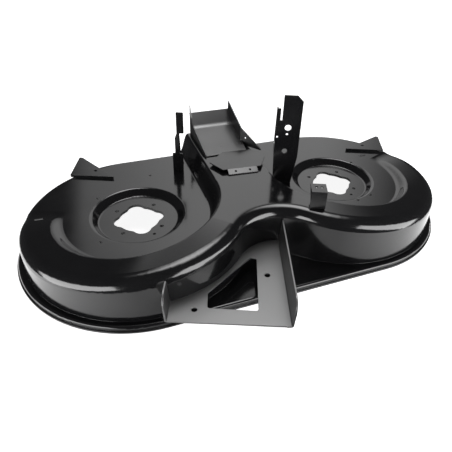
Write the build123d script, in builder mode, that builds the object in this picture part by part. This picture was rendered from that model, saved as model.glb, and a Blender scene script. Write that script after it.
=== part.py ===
from build123d import *
import os
from math import atan2, cos, degrees, radians, sin, sqrt

# Lawn mower deck: a twin-blade pressed shell with its welded brackets.
# All sizes are millimetres and degrees. X runs along the spindle line, Y to the rear, Z up.
# Everything is drawn from the middle of the spindle line and moved to its base at the end.

# Shell plan
spindle_spacing = 508.0
rim_radius = 272.0
wall_radius = 255.0
notch_radius = 100.0
stagger = 22.3

# Shell section
sheet = 2.5
rim_height = 14.0
rim_bend = 6.0
rim_hem = 3.0
rim_hem_height = 4.5
rim_hem_round = 1.5
floor_height = 85.0
edge_radius = 26.0
step_foot = 163.0
step_width = 26.0
crown_rise = 52.0
ramp_start = 160.0
ramp_knee = 190.0
ramp_knee_rise = 9.5
ramp_end = 315.0
ramp_start_slope = 0.55
ramp_end_slope = 0.6

# Spindle seats
seat_height = 69.0
seat_radius = 90.0
seat_rim_radius = 104.0
seat_bend = 9.0
seat_foot_bend = 5.0
opening_core = 47.0
lobe_reach = 57.0
lobe_radius = 20.0
bolt_circle = 61.0
bolt_hole = 8.5
spare_hole = 6.5
doubler_radius = 84.0
doubler_thickness = 4.0

# Small holes: place along X and Y from the middle of the spindle line
floor_hole = 7.0
left_floor_holes = ((-334.0, 87.0), (-347.0, -78.0), (-195.0, 152.0))
right_floor_holes = ((347.0, 54.0), (305.0, -102.0), (262.0, -112.0), (292.0, -148.0))
belt_slot_length = 20.0
belt_slot_width = 7.0
left_slot = (-464.0, 42.0)
right_slot = (400.0, 79.0)
rim_hole = 5.0
rim_hole_angles = (216.0, 230.0)

# Discharge mouth in the rear wall
mouth_sill = 12.0

# Welded brackets, placed in the travel frame: x across the machine, y to the rear
plate = 3.0
weld_gap = 0.05
front_level = 49.0
front_edge = -377.0
front_left = -133.0
front_left_reach = -215.0
front_right = 103.0
front_right_rear = 86.0
front_right_reach = -85.0
front_flange = 59.0
front_lean = 4.0
front_corner = 26.0
front_bend = 5.0
front_foot = 12.0
front_hole = 12.0
front_hole_left = (-82.0, -346.0)
front_hole_right = (58.0, -246.0)
window_corners = ((-58.0, -341.0), (39.0, -343.0), (36.0, -196.0), (23.0, -194.0), (-60.0, -302.0))
window_round = 5.0

# Rear tabs, placed from their own spindle
tab_length = 108.0
tab_depth = 88.0
tab_lift = 4.0
tab_round = 3.6
tab_hole = 8.0
left_tab_corner = (-199.0, 138.4)
right_tab_corner = (170.0, 153.6)

# Left lift bracket, placed from the left spindle
left_post_face = 197.4
left_post_rear = 236.4
left_foot = (52.0, 79.0)
left_foot_top = 134.0
left_neck = (59.0, 70.0)
left_neck_top = 191.0
left_head = (64.0, 82.0)
left_head_top = 247.0

# Right lift bracket, placed from the right spindle
right_post_face = -34.4
right_post_rear = -0.4
right_foot = (-159.0, -113.0)
right_post_side = -103.0
right_post_shoulder = 160.0
right_post_top = 319.0
right_post_chamfer = 14.0
right_slot_floor = 256.0
right_slot_edges = (-153.0, -148.5)
right_finger = -162.0
right_finger_top = 286.0
right_holes = ((-133.0, 238.0, 16.0), (-134.0, 221.0, 6.0), (-136.0, 176.0, 13.0), (-157.5, 213.0, 6.0))

# Cover plate over the front of the tunnel
cover_middle = (10.0, 64.0)
cover_turn = 4.5
cover_half = 71.5
cover_front = 48.5
cover_depth = 40.5
cover_rear = (28.0, 46.0)
cover_rear_depth = 44.0
cover_height = 9.0
cover_lip = 15.0
cover_lip_half = 37.0
cover_hole = 5.0
cover_hole_spread = 18.0

# Discharge deflector on the tunnel
chute_left = -58.0
chute_right = 54.0
chute_start = 112.0
chute_fold = (225.0, 29.0)
chute_bend = 30.0
chute_rear = 258.0
chute_height = 59.0
chute_tip = (256.0, 82.0)
chute_knee = (155.0, 48.0)
chute_left_front = (244.0, 50.0)
chute_left_rise = 4.0
chute_wing_end = (83.0, 115.0)
chute_wing_low = 12.0
chute_wing_hole = (15.0, 22.0)
chute_hole = 5.0

# Belt keeper on the right dome
keeper_left = 147.0
keeper_width = 34.0
keeper_face = -122.0
keeper_foot = 14.0
keeper_reach = 34.0
keeper_height = 43.0
keeper_hole = 6.0

half_spacing = spindle_spacing / 2
floor_rear = wall_radius
base_height = rim_height / 2
core_radius = 80.0
notch_centre = sqrt((wall_radius + notch_radius) ** 2 - half_spacing ** 2)
notch_angle = degrees(atan2(notch_centre, half_spacing))
crown_height = floor_height + crown_rise
tunnel_foot = half_spacing - step_foot
tunnel_top = tunnel_foot - step_width
dome_step = 10.0


def ease(u):
    """Smooth rise from 0 to 1 with level ends."""
    u = min(max(u, 0.0), 1.0)
    return u * u * u * (u * (6 * u - 15) + 10)


def rise_at(azimuth):
    """Height of the outer band above the floor, round a spindle."""
    first = ease((azimuth - ramp_start) / (ramp_knee - ramp_start))
    run = min(max((azimuth - ramp_knee) / (ramp_end - ramp_knee), 0.0), 1.0)
    square = 3 - 2 * ramp_start_slope - ramp_end_slope
    cube = ramp_start_slope + ramp_end_slope - 2
    climb = run * (ramp_start_slope + run * (square + run * cube))
    return ramp_knee_rise * first + (crown_rise - ramp_knee_rise) * climb


def radial_plane(azimuth):
    """Upright plane through the left spindle, local X outward and local Y up."""
    turn = radians(azimuth)
    outward = Vector(cos(turn), sin(turn), 0)
    return Plane(origin=(-half_spacing, 0, 0), x_dir=outward, z_dir=outward.cross(Vector(0, 0, 1)))


def step_points(foot, low, rise):
    """Control points of the soft step between the floor and the band, level at both ends."""
    middle = foot + step_width / 2
    return [(foot, low), (middle, low), (middle, low + rise), (foot + step_width, low + rise)]


def dome_section(plane, rise, skin, core):
    """Filled radial section of a dome, all faces drawn in by the skin."""
    low = floor_height - skin
    high = low + rise
    foot = step_foot + skin
    centre = wall_radius - edge_radius
    bend = edge_radius - skin
    points = step_points(foot, low, rise)
    with BuildSketch(plane) as section:
        with BuildLine():
            Polyline((core, base_height), (core, low), (foot, low))
            Bezier(*points)
            Line(points[-1], (centre, high))
            RadiusArc((centre, high), (centre + bend, high - bend), bend)
            Polyline((centre + bend, high - bend), (centre + bend, base_height), (core, base_height))
        make_face()
    return section.sketch


def footprint(skin):
    """Plan of the wall: two domes, a straight rear and the front notch."""
    radius = wall_radius - skin
    with BuildSketch() as plan:
        with BuildLine():
            CenterArc((-half_spacing, 0), radius, 90, 270 - notch_angle)
            CenterArc((0, -notch_centre), notch_radius + skin, notch_angle, 180 - 2 * notch_angle)
            CenterArc((half_spacing, 0), radius, 180 + notch_angle, 270 - notch_angle)
            Line((half_spacing, radius), (-half_spacing, radius))
        make_face()
    return plan.sketch


def tunnel_section(skin, sill):
    """Section of the discharge tunnel across the machine."""
    low = floor_height - skin
    foot = tunnel_foot - skin
    high = low + crown_rise
    left = step_points(-foot, low, crown_rise)
    right = [(-x, z) for x, z in reversed(left)]
    with BuildSketch(Plane.XZ) as section:
        with BuildLine():
            Polyline((foot, low), (foot, sill), (-foot, sill), (-foot, low))
            Bezier(*left)
            Line((left[-1][0], high), (right[0][0], high))
            Bezier(*right)
        make_face()
    return section.sketch


def crown_body(skin):
    """Level crown between the domes, trimmed to the notch and rounded along it."""
    low = floor_height - skin
    high = low + crown_rise
    foot = step_foot + skin
    points = step_points(foot, low, crown_rise)
    far = spindle_spacing * 0.75
    with BuildPart() as crown:
        with BuildSketch(radial_plane(ramp_end)):
            with BuildLine():
                Polyline((core_radius, base_height), (core_radius, low), (foot, low))
                Bezier(*points)
                Polyline(points[-1], (far, high), (far, base_height), (core_radius, base_height))
            make_face()
        revolve(axis=Axis((-half_spacing, 0, 0), (0, 0, 1)), revolution_arc=360 - ramp_end)
        split(bisect_by=Plane.YZ, keep=Keep.BOTTOM)
        mirror(about=Plane.YZ)
        with BuildSketch(Plane.XY):
            add(footprint(skin))
        extrude(amount=crown_height * 2, mode=Mode.INTERSECT)
        level = crown.edges().filter_by_position(Axis.Z, high - 0.01, high + 0.01)
        level = level.filter_by(GeomType.CIRCLE)
        rims = (wall_radius - skin, notch_radius + skin)
        rounded = [e for e in level if min(abs(e.radius - r) for r in rims) < 0.1]
        fillet(rounded, radius=edge_radius - skin)
    return crown.part


def seat_recesses(skin):
    """Both sunken spindle seats as one cutting tool."""
    low = floor_height - skin
    draw = skin * 0.6
    slope = (seat_rim_radius - seat_radius) / (floor_height - seat_height)
    with BuildPart() as seat:
        with BuildSketch(radial_plane(0)):
            with BuildLine():
                Polyline((0, seat_height - skin), (seat_radius - draw, seat_height - skin),
                         (seat_rim_radius - draw, low), (seat_rim_radius - draw + slope * 4, low + 4),
                         (0, low + 4), close=True)
            make_face()
        revolve(axis=Axis((-half_spacing, 0, 0), (0, 0, 1)))
        mirror(about=Plane.YZ)
    return seat.part


def soften(edges, radius, flat, skin):
    """Round an edge on the outside, or bevel it plainly on the hidden inside."""
    if skin > 0:
        chamfer(edges, length=flat)
    else:
        fillet(edges, radius=radius)


def filled_body(skin):
    """The shell as a solid, drawn in by the skin: outside with none, inside with the sheet."""
    count = round((ramp_end - ramp_start) / dome_step)
    angles = [ramp_start + (ramp_end - ramp_start) * i / count for i in range(count + 1)]
    with BuildPart() as dome:
        loft(sections=[dome_section(radial_plane(a), rise_at(a), skin, core_radius) for a in angles])
        level_section = dome_section(radial_plane(90), 0.0, skin, core_radius)
        revolve(level_section, axis=Axis((-half_spacing, 0, 0), (0, 0, 1)), revolution_arc=ramp_start - 90)
        floor_section = dome_section(radial_plane(90), 0.0, skin, 0.0)
        extrude(floor_section, amount=half_spacing - tunnel_foot + skin)
        with BuildSketch(Plane.XY.offset(base_height)):
            with Locations((-half_spacing, 0)):
                Circle(core_radius + 8)
        extrude(amount=seat_height + 6 - base_height)
        mirror(about=Plane.YZ)
    with BuildPart() as rim:
        with BuildSketch(Plane.XY.offset(-skin)):
            SlotCenterToCenter(spindle_spacing, 2 * (rim_radius - skin))
        extrude(amount=rim_hem_height)
        if skin < rim_hem_round:
            chamfer(rim.faces().sort_by(Axis.Z)[-1].edges(), length=rim_hem_round)
        with BuildSketch(Plane.XY.offset(-skin)):
            SlotCenterToCenter(spindle_spacing, 2 * (rim_radius - rim_hem - skin))
        extrude(amount=rim_height)
        soften(rim.faces().sort_by(Axis.Z)[-1].edges(), rim_bend, rim_bend - skin * 1.5, skin)
    with BuildPart() as body:
        add(rim.part)
        add(dome.part)
        add(crown_body(skin))
        extrude(tunnel_section(skin, base_height), amount=-(floor_rear - skin))
        add(seat_recesses(skin), mode=Mode.SUBTRACT)
        draw = skin * 0.6
        rings = body.edges().filter_by(GeomType.CIRCLE)
        brim = [e for e in rings if abs(e.radius - seat_rim_radius + draw) < 0.1]
        soften(brim, seat_bend, seat_bend * 0.18, skin)
        rings = body.edges().filter_by(GeomType.CIRCLE)
        foot = [e for e in rings if abs(e.radius - seat_radius + draw) < 0.1]
        soften(foot, seat_foot_bend, seat_foot_bend * 0.35, skin)
    return body.part


def opening_plan():
    """Four-lobed spindle opening, drawn round the origin."""
    with BuildSketch() as plan:
        Circle(opening_core)
        with PolarLocations(lobe_reach - lobe_radius, 4):
            Circle(lobe_radius)
        fillet(plan.vertices(), radius=lobe_radius * 0.6)
    return plan.sketch


def seat_openings():
    """Spindle openings and bolt holes of both seats as one cutting tool."""
    with BuildPart() as tool:
        with BuildSketch(Plane.XY.offset(base_height)):
            with Locations((-half_spacing, 0), (half_spacing, 0)):
                add(opening_plan())
                with PolarLocations(bolt_circle, 4, start_angle=45):
                    Circle(bolt_hole / 2)
                with PolarLocations(bolt_circle + 8, 1, start_angle=288):
                    Circle(spare_hole / 2)
        extrude(amount=floor_height)
    return tool.part


with BuildPart() as deck_shell:
    add(filled_body(0.0))
    add(filled_body(sheet), mode=Mode.SUBTRACT)
    # discharge mouth
    with BuildSketch(Plane.XZ.offset(-(floor_rear - sheet * 3))):
        add(tunnel_section(sheet, rim_height + mouth_sill))
    extrude(amount=-sheet * 6, mode=Mode.SUBTRACT)
    # spindle openings and small holes
    add(seat_openings(), mode=Mode.SUBTRACT)
    with BuildSketch(Plane.XY.offset(seat_height + sheet)):
        with Locations(*left_floor_holes, *right_floor_holes):
            Circle(floor_hole / 2)
        with Locations(left_slot, right_slot):
            SlotOverall(belt_slot_length, belt_slot_width)
    extrude(amount=crown_height, mode=Mode.SUBTRACT)
    for side in (-1, 1):
        for turn in rim_hole_angles:
            lean = radians(turn if side < 0 else 180 - turn)
            outward = Vector(cos(lean), sin(lean), 0)
            spindle = Vector(side * half_spacing, 0, base_height)
            with BuildSketch(Plane(origin=spindle + outward * wall_radius, z_dir=outward)):
                Circle(rim_hole / 2)
            extrude(amount=rim_radius, mode=Mode.SUBTRACT)
deck_shell.part.label = "deck_shell"

# Reinforcing plates under the spindle seats
with BuildPart() as spindle_doubler_left:
    with BuildSketch(Plane.XY.offset(seat_height - sheet - doubler_thickness)):
        with Locations((-half_spacing, 0)):
            Circle(doubler_radius)
    extrude(amount=doubler_thickness)
    add(seat_openings(), mode=Mode.SUBTRACT)
spindle_doubler_left.part.label = "spindle_doubler_left"

with BuildPart() as spindle_doubler_right:
    with BuildSketch(Plane.XY.offset(seat_height - sheet - doubler_thickness)):
        with Locations((half_spacing, 0)):
            Circle(doubler_radius)
    extrude(amount=doubler_thickness)
    add(seat_openings(), mode=Mode.SUBTRACT)
spindle_doubler_right.part.label = "spindle_doubler_right"

# The travel frame is turned against the spindle line
turn = radians(stagger)
across = Vector(cos(turn), -sin(turn), 0)
rearward = Vector(sin(turn), cos(turn), 0)
left_spindle = Vector(-half_spacing, 0, 0)
right_spindle = Vector(half_spacing, 0, 0)
deck_middle = Vector(0, 0, 0)


def travel_level(base, height):
    """Level plane of the travel frame, over a point of the deck."""
    return Plane(origin=base + Vector(0, 0, height), x_dir=across, z_dir=(0, 0, 1))


def travel_cross(base, y):
    """Upright plane across the machine, local X across and local Y up, facing forward."""
    return Plane(origin=base + rearward * y, x_dir=across, z_dir=rearward * -1)


def travel_side(base, x):
    """Upright plane along the machine, local X to the rear and local Y up."""
    return Plane(origin=base + across * x, x_dir=rearward, z_dir=across)


# Front bracket: plate with a window between two bent flanges that lean out a little, cut to the wall
def bent_flange(start, finish, inward):
    """Angle strip along a line: a foot in the plate and an upright flange with a rounded front corner."""
    run = (finish - start).length
    lean = front_flange * sin(radians(front_lean))
    with BuildPart() as strip:
        with BuildSketch(Plane(origin=start, x_dir=inward, z_dir=inward.cross(Vector(0, 0, 1)))):
            with BuildLine():
                FilletPolyline((front_foot, 0), (0, 0), (-lean, front_flange), radius=front_bend)
                Line((-lean, front_flange), (plate - lean, front_flange))
                FilletPolyline((plate - lean, front_flange), (plate, plate), (front_foot, plate),
                               radius=front_bend - plate)
                Line((front_foot, plate), (front_foot, 0))
            make_face()
        ahead = (finish - start).dot(inward.cross(Vector(0, 0, 1)))
        extrude(amount=run if ahead > 0 else -run)
        corner = start + inward * (plate / 2 - lean) + Vector(0, 0, front_flange)
        fillet(strip.edges().sort_by_distance(corner)[0], radius=front_corner)
    return strip.part


left_start = across * front_left + rearward * front_edge + Vector(0, 0, front_level)
left_finish = across * front_left + rearward * front_left_reach + Vector(0, 0, front_level)
right_start = across * front_right + rearward * front_edge + Vector(0, 0, front_level)
right_finish = across * front_right_rear + rearward * front_right_reach + Vector(0, 0, front_level)
right_inward = Vector(0, 0, 1).cross(right_finish - right_start).normalized()
with BuildPart() as front_bracket:
    with BuildSketch(travel_level(deck_middle, front_level)):
        with BuildLine():
            Polyline((front_left + front_bend, front_edge), (front_right - front_bend, front_edge),
                     (front_right_rear - front_bend, front_right_reach), (0, front_right_reach),
                     (front_left + front_bend, front_left_reach), close=True)
        make_face()
    extrude(amount=plate)
    add(bent_flange(left_start, left_finish, across))
    add(bent_flange(right_start, right_finish, right_inward))
    with BuildSketch(travel_level(deck_middle, front_level)):
        with BuildLine():
            FilletPolyline(*window_corners, radius=window_round, close=True)
        make_face()
        with Locations(front_hole_left, front_hole_right):
            Circle(front_hole / 2)
    extrude(amount=plate, mode=Mode.SUBTRACT)
    with BuildSketch(Plane.XY):
        add(footprint(-weld_gap))
    extrude(amount=crown_height * 1.2, mode=Mode.SUBTRACT)
front_bracket.part.label = "front_bracket"


def rear_tab(spindle, corner, sign):
    """Three-cornered tab with its front edge turned down to the floor."""
    x, y = corner
    low = floor_height + tab_lift
    with BuildPart() as tab:
        with BuildSketch(travel_level(spindle, low)) as flat:
            with BuildLine():
                Polyline((x, y), (x + sign * tab_length, y), (x + sign * 4, y + tab_depth),
                         (x - sign * 4, y + tab_depth), close=True)
            make_face()
            rear = flat.vertices().group_by(lambda v: round(v.center().dot(rearward)))[-1]
            fillet(rear, radius=tab_round)
            with Locations((x + sign * tab_length * 0.52, y + tab_depth * 0.28)):
                Circle(tab_hole / 2, mode=Mode.SUBTRACT)
        extrude(amount=plate)
        with BuildSketch(travel_cross(spindle, y)):
            with Locations((x + sign * tab_length / 2, floor_height + weld_gap)):
                Rectangle(tab_length, tab_lift + plate - weld_gap, align=(Align.CENTER, Align.MIN))
        extrude(amount=-plate)
    return tab.part


with BuildPart() as left_rear_tab:
    add(rear_tab(left_spindle, left_tab_corner, 1))
left_rear_tab.part.label = "left_rear_tab"

with BuildPart() as right_rear_tab:
    add(rear_tab(right_spindle, right_tab_corner, -1))
right_rear_tab.part.label = "right_rear_tab"

# Left lift bracket: stepped front flange, web behind it and a foot on the floor
with BuildPart() as left_lift_bracket:
    with BuildSketch(travel_cross(left_spindle, left_post_face)):
        with BuildLine():
            FilletPolyline((left_foot[0], floor_height), (left_foot[1], floor_height),
                           (left_foot[1], left_foot_top), (left_neck[1], left_foot_top),
                           (left_neck[1], left_neck_top), (left_head[1], left_neck_top),
                           (left_head[1], left_head_top), (left_head[0], left_head_top),
                           (left_head[0], left_neck_top), (left_neck[0], left_neck_top - 14),
                           (left_neck[0], left_foot_top), (left_foot[0], left_foot_top),
                           radius=2.0, close=True)
        make_face()
    extrude(amount=-plate)
    with BuildSketch(travel_side(left_spindle, left_head[0])):
        with BuildLine():
            Polyline((left_post_face, floor_height), (left_post_rear, floor_height),
                     (left_post_rear, left_foot_top), (left_post_face + 14, left_head_top - 8),
                     (left_post_face, left_head_top - 8), close=True)
        make_face()
    extrude(amount=plate)
    with BuildSketch(travel_level(left_spindle, floor_height)):
        with BuildLine():
            Polyline((left_foot[0], left_post_face), (left_foot[1] - 4, left_post_face),
                     (left_foot[1] - 4, left_post_rear), (left_foot[0], left_post_rear), close=True)
        make_face()
    extrude(amount=plate)
left_lift_bracket.part.label = "left_lift_bracket"

# Right lift bracket: tall web with a finger beside a slot, two returns and a foot
with BuildPart() as right_lift_bracket:
    with BuildSketch(travel_cross(right_spindle, right_post_face)):
        with BuildLine():
            Polyline((right_foot[0], floor_height), (right_foot[1], floor_height),
                     (right_post_side, right_post_shoulder),
                     (right_post_side, right_post_top - right_post_chamfer),
                     (right_post_side - right_post_chamfer, right_post_top),
                     (right_slot_edges[1], right_post_top), (right_slot_edges[1], right_slot_floor),
                     (right_slot_edges[0], right_slot_floor),
                     (right_slot_edges[0], right_finger_top), (right_finger, right_finger_top),
                     (right_finger, right_post_shoulder), close=True)
        make_face()
        for x, z, size in right_holes:
            with Locations((x, z)):
                Circle(size / 2, mode=Mode.SUBTRACT)
    extrude(amount=-plate)
    with BuildSketch(travel_side(right_spindle, right_finger)):
        with BuildLine():
            Polyline((right_post_face, right_post_shoulder), (right_post_rear, right_post_shoulder),
                     (right_post_face + 12, right_finger_top),
                     (right_post_face, right_finger_top), close=True)
        make_face()
    extrude(amount=plate)
    with BuildSketch(travel_side(right_spindle, right_post_side)):
        with BuildLine():
            Polyline((right_post_face, right_post_shoulder), (right_post_rear - 10, right_post_shoulder),
                     (right_post_face + 12, right_post_top - 20),
                     (right_post_face, right_post_top - 20), close=True)
        make_face()
    extrude(amount=-plate)
    with BuildSketch(travel_level(right_spindle, floor_height)):
        with BuildLine():
            Polyline((right_foot[0], right_post_face), (right_foot[1], right_post_face),
                     (right_foot[1], right_post_rear), (right_foot[0], right_post_rear), close=True)
        make_face()
    extrude(amount=plate)
right_lift_bracket.part.label = "right_lift_bracket"

# Six-sided cover over the tunnel with a sloping front lip and a turned-down rear edge
cover_swing = radians(cover_turn)
cover_across = Vector(cos(cover_swing), -sin(cover_swing), 0)
cover_back = Vector(sin(cover_swing), cos(cover_swing), 0)
cover_base = Vector(*cover_middle, crown_height)
with BuildPart() as tunnel_cover:
    cover_top = cover_base + Vector(0, 0, cover_height - sheet)
    with BuildSketch(Plane(origin=cover_top, x_dir=cover_across, z_dir=(0, 0, 1))):
        with BuildLine():
            Polyline((-cover_front, -cover_depth), (cover_front, -cover_depth), (cover_half, 0),
                     (cover_rear[1], cover_rear_depth), (-cover_rear[0], cover_rear_depth),
                     (-cover_half, 0), close=True)
        make_face()
    extrude(amount=sheet)
    lip_side = cover_base - cover_across * cover_lip_half
    with BuildSketch(Plane(origin=lip_side, x_dir=cover_back, z_dir=cover_across)):
        with BuildLine():
            Polyline((-cover_depth, cover_height), (-cover_depth - cover_lip, sheet),
                     (-cover_depth - cover_lip, 0), (-cover_depth - cover_lip + sheet * 1.5, 0),
                     (-cover_depth, cover_height - sheet), close=True)
        make_face()
    extrude(amount=2 * cover_lip_half)
    with BuildSketch(Plane(origin=cover_base, x_dir=cover_across, z_dir=(0, 0, 1))):
        with Locations((-cover_hole_spread, -cover_depth - cover_lip / 2),
                       (cover_hole_spread, -cover_depth - cover_lip / 2)):
            Circle(cover_hole / 2)
    extrude(amount=cover_height, mode=Mode.SUBTRACT)
tunnel_cover.part.label = "tunnel_cover"

# Discharge deflector: panel rising to the rear with a fold, two side plates and a flared wing
with BuildPart() as discharge_chute:
    with BuildSketch(Plane.YZ.offset(chute_left)):
        with BuildLine():
            FilletPolyline((chute_start, crown_height + sheet), (chute_fold[0], crown_height + chute_fold[1]),
                           (chute_rear, crown_height + chute_height), radius=chute_bend)
            offset(amount=sheet, side=Side.RIGHT)
        make_face()
    extrude(amount=chute_right - chute_left)
    with BuildSketch(Plane.YZ.offset(chute_right - sheet)):
        with BuildLine():
            Polyline((chute_knee[0], crown_height), (chute_tip[0], crown_height),
                     (chute_tip[0], crown_height + chute_tip[1]),
                     (chute_knee[0], crown_height + chute_knee[1]), close=True)
        make_face()
    extrude(amount=sheet)
    with BuildSketch(Plane.YZ.offset(chute_left)):
        with BuildLine():
            Polyline((chute_start, crown_height), (chute_tip[0], crown_height),
                     (chute_tip[0], crown_height + chute_tip[1]),
                     (chute_left_front[0], crown_height + chute_left_front[1]),
                     (chute_fold[0], crown_height + chute_fold[1] + chute_left_rise),
                     (chute_start, crown_height + sheet + chute_left_rise), close=True)
        make_face()
    extrude(amount=sheet)
    wing_foot = Vector(chute_right - sheet, chute_knee[0], crown_height)
    wing_along = Vector(*chute_wing_end, crown_height) - wing_foot
    wing_run = wing_along.length
    wing_along = wing_along.normalized()
    with BuildSketch(Plane(origin=wing_foot, x_dir=wing_along, z_dir=wing_along.cross(Vector(0, 0, 1)))):
        with BuildLine():
            Polyline((0, 0), (wing_run + chute_wing_low, 0), (wing_run + chute_wing_low, sheet),
                     (wing_run, chute_wing_low), (0, chute_knee[1]), close=True)
        make_face()
        with Locations(chute_wing_hole):
            Circle(chute_hole / 2, mode=Mode.SUBTRACT)
    extrude(amount=-sheet)
discharge_chute.part.label = "discharge_chute"

# Belt keeper: leg, foot and top plate with a side gusset
with BuildPart() as belt_keeper:
    high = crown_height + keeper_height
    with BuildSketch(travel_side(deck_middle, keeper_left)):
        with BuildLine():
            Polyline((keeper_face, crown_height), (keeper_face + keeper_foot, crown_height),
                     (keeper_face + keeper_foot, crown_height + plate),
                     (keeper_face + plate, crown_height + plate),
                     (keeper_face + plate, high - plate), (keeper_face + keeper_reach, high - plate),
                     (keeper_face + keeper_reach, high), (keeper_face, high), close=True)
        make_face()
    extrude(amount=keeper_width)
    with BuildSketch(travel_side(deck_middle, keeper_left)):
        with BuildLine():
            Polyline((keeper_face, high - plate), (keeper_face + keeper_reach * 0.8, high - plate),
                     (keeper_face, crown_height + keeper_height * 0.35), close=True)
        make_face()
    extrude(amount=plate)
    with BuildSketch(travel_level(deck_middle, high - plate * 2)):
        with Locations((keeper_left + keeper_width * 0.35, keeper_face + keeper_reach * 0.6),
                       (keeper_left + keeper_width * 0.7, keeper_face + keeper_reach * 0.6)):
            Circle(keeper_hole / 2)
    extrude(amount=plate * 3, mode=Mode.SUBTRACT)
belt_keeper.part.label = "belt_keeper"

# The origin is the middle of the whole deck's base, ahead of the spindle line
front = front_bracket.part.bounding_box().min.Y
rear = left_rear_tab.part.bounding_box().max.Y
base_shift = Vector(0, -(front + rear) / 2, 0)
deck_shell.part.position = base_shift
spindle_doubler_left.part.position = base_shift
spindle_doubler_right.part.position = base_shift
front_bracket.part.position = base_shift
left_rear_tab.part.position = base_shift
right_rear_tab.part.position = base_shift
left_lift_bracket.part.position = base_shift
right_lift_bracket.part.position = base_shift
tunnel_cover.part.position = base_shift
discharge_chute.part.position = base_shift
belt_keeper.part.position = base_shift

os.makedirs("parts", exist_ok=True)
export_step(deck_shell.part, "parts/deck_shell.step")
export_step(spindle_doubler_left.part, "parts/spindle_doubler_left.step")
export_step(spindle_doubler_right.part, "parts/spindle_doubler_right.step")
export_step(front_bracket.part, "parts/front_bracket.step")
export_step(left_rear_tab.part, "parts/left_rear_tab.step")
export_step(right_rear_tab.part, "parts/right_rear_tab.step")
export_step(left_lift_bracket.part, "parts/left_lift_bracket.step")
export_step(right_lift_bracket.part, "parts/right_lift_bracket.step")
export_step(tunnel_cover.part, "parts/tunnel_cover.step")
export_step(discharge_chute.part, "parts/discharge_chute.step")
export_step(belt_keeper.part, "parts/belt_keeper.step")
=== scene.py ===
import bpy
import math
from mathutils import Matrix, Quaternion, Vector


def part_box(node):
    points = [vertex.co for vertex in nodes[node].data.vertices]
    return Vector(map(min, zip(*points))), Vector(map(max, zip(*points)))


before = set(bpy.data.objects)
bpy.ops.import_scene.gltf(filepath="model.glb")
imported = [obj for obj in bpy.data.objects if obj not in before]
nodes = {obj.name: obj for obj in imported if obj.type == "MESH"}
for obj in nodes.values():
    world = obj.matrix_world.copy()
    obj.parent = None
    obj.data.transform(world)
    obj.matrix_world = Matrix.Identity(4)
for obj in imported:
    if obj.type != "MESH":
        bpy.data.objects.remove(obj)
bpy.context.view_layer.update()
scene = bpy.context.scene
scene.view_settings.view_transform = "Standard"

# Spindles, taken from the doubler plates under the seats: their line lies behind the origin
left_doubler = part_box("spindle_doubler_left")
right_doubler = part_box("spindle_doubler_right")
spindle_y = (left_doubler[0][1] + left_doubler[1][1]) / 2
half_spacing = (right_doubler[0][0] + right_doubler[1][0]) / 2
shell_thickness = 0.0025
seat_level = left_doubler[1][2] + shell_thickness

# Camera as fitted to the photo, in metres and degrees
eye = Vector((-0.360584, spindle_y - 0.858942, 0.710576))
camera_heading = 67.2273
camera_fall = 34.8259
camera_roll = 2.8044
camera_sensor = 36.0
camera_lens = 36.367
camera_shift = (-0.03485, -0.05426)
camera_range = 100

# Paint: colours, noise stretched from the middle of its range, edges in metres, and how far two directions
# agree where dust with a painted sheen starts and is full, and where wear with a painted edge highlight
# starts and is full
black = (0.004, 0.004, 0.0045, 1)
soft_black = (0.009, 0.009, 0.0096, 1)
# Lighter edge colour: partly worn paint, partly a painted highlight
worn_edge_and_highlight = (0.09, 0.09, 0.092, 1)
noise_range = (0.3, 0.7)
dust_and_sheen_range = (0.6, 0.95)
wear_and_highlight_range = (0.97, 0.75)
edge_radius = 0.0011
edge_samples = 6
peel_depth = 0.0004

# Ground, in metres but for its paint: the table's reach round the spindles, and where the painted shade
# under the deck, the painted light patches in it and the glow to the sides start and end
table_reach = 0.408
table_steps = 32
table_drop = 0.0005
floor_drop = 0.001
floor_half = 9
shade_reach = (0.25, 0.265)
shade_shift = 0.03
painted_light_patch_reach = (0.065, 0.08)
glow_reach = (0.2, 0.6)
ground_grey = (0.8, 0.8, 0.8, 1)
ground_roughness = 0.9

# Studio: its heading in degrees, the room, the point that lamps are aimed at, and where across a lamp its
# middle starts
studio_heading = 67.2
dim_room = (0.05, 0.05, 0.052, 1)
white = (1, 1, 1, 1)
lamp_aim = Vector((0, spindle_y, 0.1))
lamp_middle = 0.57


def new_node(tree, kind, **settings):
    """New shader node with its settings."""
    node = tree.nodes.new("ShaderNode" + kind)
    for name, value in settings.items():
        setattr(node, name, value)
    return node


def feed(tree, socket, value):
    """Gives a socket a fixed value, or another node's output."""
    if isinstance(value, bpy.types.NodeSocket):
        tree.links.new(value, socket)
    else:
        socket.default_value = value


def remap(tree, value, start, end, low=0.0, high=1.0, smooth=False):
    """Value that runs from start to end, brought to run from low to high."""
    node = new_node(tree, "MapRange", interpolation_type="SMOOTHSTEP" if smooth else "LINEAR")
    given = {"Value": value, "From Min": start, "From Max": end, "To Min": low, "To Max": high}
    for name, amount in given.items():
        feed(tree, node.inputs[name], amount)
    return node.outputs["Result"]


def number(tree, operation, *values):
    """Math on numbers."""
    node = new_node(tree, "Math", operation=operation)
    for socket, value in zip(node.inputs, values):
        feed(tree, socket, value)
    return node.outputs["Value"]


def vector(tree, operation, *values):
    """Math on vectors."""
    node = new_node(tree, "VectorMath", operation=operation)
    for socket, value in zip(node.inputs, values):
        feed(tree, socket, value)
    gives_number = operation in ("DOT_PRODUCT", "LENGTH", "DISTANCE")
    return node.outputs["Value" if gives_number else "Vector"]


def blend(tree, share, first, second, way="MIX"):
    """Colour mixed or added by a share."""
    node = new_node(tree, "Mix", data_type="RGBA", blend_type=way)
    for name, value in {"Factor": share, "A": first, "B": second}.items():
        feed(tree, node.inputs[name], value)
    return node.outputs["Result"]


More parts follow.
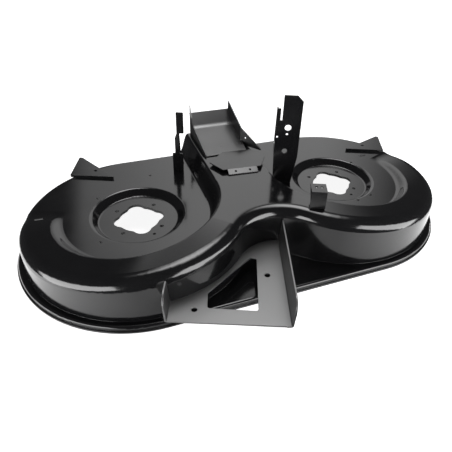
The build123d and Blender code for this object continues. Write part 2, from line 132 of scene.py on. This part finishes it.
def noise(tree, coords, scale, detail, rough):
    """Noise texture value."""
    node = new_node(tree, "TexNoise")
    for name, value in {"Vector": coords, "Scale": scale, "Detail": detail, "Roughness": rough}.items():
        feed(tree, node.inputs[name], value)
    return node.outputs["Fac"]


def new_material(name):
    """New material with its node tree and shader."""
    material = bpy.data.materials.new(name)
    material.use_nodes = True
    return material, material.node_tree, material.node_tree.nodes["Principled BSDF"]


def paint(name, gloss, vary, peel, wear_and_highlight, ior, dust_and_sheen=0.0):
    """Black paint with faint clouds, uneven gloss and orange peel.

    It is lighter on sharp edges, partly worn and partly a painted highlight; level faces get dust and a
    painted sheen."""
    material, tree, shader = new_material(name)
    coords = new_node(tree, "TexCoord").outputs["Object"]
    normal = new_node(tree, "NewGeometry").outputs["Normal"]
    bevel = new_node(tree, "Bevel", samples=edge_samples)
    bevel.inputs["Radius"].default_value = edge_radius
    rounded = bevel.outputs["Normal"]

    cloud = noise(tree, coords, scale=5.0, detail=4.0, rough=0.6)
    colour = blend(tree, remap(tree, cloud, *noise_range), black, soft_black)
    # Level faces get dust and a painted sheen that lightens them
    level = remap(tree, vector(tree, "DOT_PRODUCT", normal, (0, 0, 1)), *dust_and_sheen_range)
    colour = blend(tree, level, colour, (dust_and_sheen, dust_and_sheen, dust_and_sheen, 1), "ADD")
    # Near an edge the rounded normal leaves the plain one; there the colour lightens, partly as wear and
    # partly as a painted highlight
    wear_and_highlight_share = remap(tree, vector(tree, "DOT_PRODUCT", rounded, normal), *wear_and_highlight_range, high=wear_and_highlight)
    feed(tree, shader.inputs["Base Color"], blend(tree, wear_and_highlight_share, colour, worn_edge_and_highlight))

    smear = noise(tree, coords, scale=14.0, detail=5.0, rough=0.65)
    roughness = remap(tree, smear, *noise_range, gloss - vary, gloss + vary)
    feed(tree, shader.inputs["Roughness"], roughness)
    shader.inputs["IOR"].default_value = ior

    grain = noise(tree, coords, scale=420.0, detail=2.0, rough=0.5)
    bump = new_node(tree, "Bump")
    given = {"Strength": peel, "Distance": peel_depth, "Height": grain, "Normal": rounded}
    for socket, value in given.items():
        feed(tree, bump.inputs[socket], value)
    feed(tree, shader.inputs["Normal"], bump.outputs["Normal"])
    return material


def dress_part():
    """Gives each node its paint."""
    bracket_paint = paint("bracket_paint", gloss=0.2, vary=0.04, peel=0.05, wear_and_highlight=0.5, ior=1.7)
    finishes = {
        "deck_shell": paint("shell_paint", gloss=0.12, vary=0.03, peel=0.03, wear_and_highlight=0.35, ior=1.7),
        "front_bracket": paint("satin_paint", gloss=0.37, vary=0.04, peel=0.03, wear_and_highlight=0.5, ior=2.8, dust_and_sheen=0.06),
        "discharge_chute": paint("chute_paint", gloss=0.3, vary=0.04, peel=0.03, wear_and_highlight=0.5, ior=2.2),
    }
    for name, obj in nodes.items():
        obj.data.materials.clear()
        obj.data.materials.append(finishes.get(name, bracket_paint))


def aimed(look, roll):
    """Turn that points a camera or lamp along a direction and rolls it by degrees."""
    turn = look.to_track_quat("-Z", "Y") @ Quaternion((0, 0, 1), math.radians(roll))
    return turn.to_euler()


def direction(heading, rise):
    """Unit vector from degrees."""
    heading, rise = math.radians(heading), math.radians(rise)
    return Vector((math.cos(rise) * math.cos(heading), math.cos(rise) * math.sin(heading), math.sin(rise)))


def camera_turn():
    """Turn of the photo's camera."""
    return aimed(direction(camera_heading, -camera_fall), camera_roll)


def place_camera():
    """Camera of the photo."""
    data = bpy.data.cameras.new("camera")
    data.sensor_width = camera_sensor
    data.lens = camera_lens
    data.shift_x, data.shift_y = camera_shift
    data.clip_end = camera_range
    camera = bpy.data.objects.new("camera", data)
    camera.location = eye
    camera.rotation_euler = camera_turn()
    scene.collection.objects.link(camera)
    scene.camera = camera


def seen_through(x):
    """Point of the table that the camera sees through the spindle opening at x."""
    opening = Vector((x, spindle_y, seat_level))
    return eye + (opening - eye) * eye.z / (eye.z - seat_level)


def painted_deck_shade(tree, position, level):
    """Table's whiteness: dark with painted shade under the deck, but for painted light below the spindle
    openings.
    """
    # Distance from the spindle line, moved to the rear by the shade's shift
    folded = vector(tree, "ABSOLUTE", vector(tree, "SUBTRACT", position, (0, spindle_y + shade_shift, 0)))
    beyond = vector(tree, "MAXIMUM", vector(tree, "SUBTRACT", folded, (half_spacing, 0, 0)), (0, 0, 0))
    shown = remap(tree, vector(tree, "LENGTH", beyond), *shade_reach, high=level)
    # Painted pools of light below each spindle opening and where the camera sees through it
    for x in (-half_spacing, half_spacing):
        for centre in (Vector((x, spindle_y, 0)), seen_through(x)):
            away = vector(tree, "DISTANCE", position, centre)
            shown = number(tree, "MAXIMUM", shown, remap(tree, away, *painted_light_patch_reach, low=level, high=0.0))
    return shown


def pale(name, near, far, level, shaded):
    """Pale diffuse ground that shows white to the camera. In the gloss it brightens to the sides."""
    material, tree, shader = new_material(name)
    shader.inputs["Base Color"].default_value = ground_grey
    shader.inputs["Roughness"].default_value = ground_roughness
    position = new_node(tree, "NewGeometry").outputs["Position"]
    rays = new_node(tree, "LightPath").outputs
    # Level direction across the camera's view
    sideways = camera_turn().to_matrix().col[0].to_2d().normalized().to_3d()
    off = number(tree, "ABSOLUTE", vector(tree, "DOT_PRODUCT", position, sideways))
    gloss = number(tree, "MULTIPLY", remap(tree, off, *glow_reach, near, far), rays["Is Glossy Ray"])
    # A shaded ground shows the camera the painted shade under the deck and its painted light patches
    shown = painted_deck_shade(tree, position, level) if shaded else level
    glow = new_node(tree, "Emission")
    feed(tree, glow.inputs["Strength"], number(tree, "MULTIPLY_ADD", rays["Is Camera Ray"], shown, gloss))
    both = new_node(tree, "AddShader")
    feed(tree, both.inputs[0], shader.outputs["BSDF"])
    feed(tree, both.inputs[1], glow.outputs["Emission"])
    feed(tree, tree.nodes["Material Output"].inputs["Surface"], both.outputs["Shader"])
    return material


def sheet(name, corners, drop, material):
    """Flat level mesh a little below the part."""
    mesh = bpy.data.meshes.new(name)
    mesh.from_pydata([(x, y, 0) for x, y in corners], [], [range(len(corners))])
    mesh.materials.append(material)
    obj = bpy.data.objects.new(name, mesh)
    obj.location.z = -drop
    scene.collection.objects.link(obj)
    return obj


def lay_ground():
    """Pale table top round the part, on a wide pale floor that the gloss doesn't show."""
    rim = []
    for middle_x, start in ((half_spacing, -90), (-half_spacing, 90)):
        for step in range(table_steps + 1):
            out = table_reach * direction(start + step * 180 / table_steps, 0)
            rim.append((middle_x + out.x, spindle_y + out.y))
    table_white = pale("table_white", near=0.24, far=1.65, level=0.9, shaded=True)
    table = sheet("table", rim, table_drop, table_white)
    corners = [(x * floor_half, y * floor_half) for x, y in ((-1, -1), (1, -1), (1, 1), (-1, 1))]
    floor_white = pale("floor_white", near=0.9, far=0.9, level=0.97, shaded=False)
    floor = sheet("floor", corners, floor_drop, floor_white)
    floor.visible_glossy = False
    floor.visible_shadow = False


def surround():
    """World that is white to the camera and a dim room for everything else."""
    world = bpy.data.worlds.new("studio")
    world.use_nodes = True
    tree = world.node_tree
    seen = new_node(tree, "LightPath").outputs["Is Camera Ray"]
    feed(tree, tree.nodes["Background"].inputs["Color"], blend(tree, seen, dim_room, white))
    scene.world = world


def studio(turn, rise, reach):
    """Place in the studio: turned right of its heading and raised, seen from the deck."""
    return Vector((0, spindle_y, 0)) + reach * direction(studio_heading - turn, rise)


def softbox(name, place, size, level, fades, foot=1.0, left_end=1.0, roll=0.0):
    """Large soft lamp aimed at the part.

    Level is the brightness of its face. Fades are the shares of the face that fade out at its right, left,
    bottom and top, as the part sees it. Foot and left_end are brightness against the head and the middle."""
    data = bpy.data.lights.new(name, "AREA")
    data.shape = "RECTANGLE"
    data.size, data.size_y = size
    data.energy = level * data.size * data.size_y * math.pi
    data.use_nodes = True
    tree = data.node_tree
    split = new_node(tree, "SeparateXYZ")
    feed(tree, split.inputs["Vector"], new_node(tree, "NewGeometry").outputs["Parametric"])
    across, height = split.outputs["X"], split.outputs["Y"]
    right, left, bottom, top = fades
    strength = remap(tree, across, 0.0, right, smooth=True)
    for value, start, end, low in (
            (across, 1.0, 1.0 - left, 0.0), (height, 0.0, bottom, 0.0), (height, 1.0, 1.0 - top, 0.0),
            (height, 0.0, 1.0, foot), (across, 1.0, lamp_middle, left_end)):
        strength = number(tree, "MULTIPLY", strength, remap(tree, value, start, end, low, smooth=True))
    feed(tree, tree.nodes["Emission"].inputs["Strength"], strength)
    lamp = bpy.data.objects.new(name, data)
    lamp.location = place
    lamp.rotation_euler = aimed(lamp_aim - place, roll)
    lamp.visible_camera = False
    scene.collection.objects.link(lamp)


dress_part()
place_camera()
lay_ground()
surround()
softbox("rear_box", studio(turn=0.7, rise=28, reach=3.4), size=(3.5, 3.9), level=1.5,
        fades=(0.32, 0.045, 0.05, 0.25), foot=0.45, left_end=0.5)
softbox("top_box", studio(turn=8, rise=78, reach=3.0), size=(2.6, 2.5), level=5.0,
        fades=(0.4, 0.4, 0.4, 0.4))
softbox("left_box", studio(turn=-134, rise=0, reach=2.4), size=(3.1, 1.45), level=5.2,
        fades=(0.1, 0.1, 0.15, 0.15), roll=19)
softbox("right_box", studio(turn=120, rise=7, reach=2.4), size=(3.2, 1.5), level=5.2,
        fades=(0.1, 0.1, 0.15, 0.15), roll=-31)
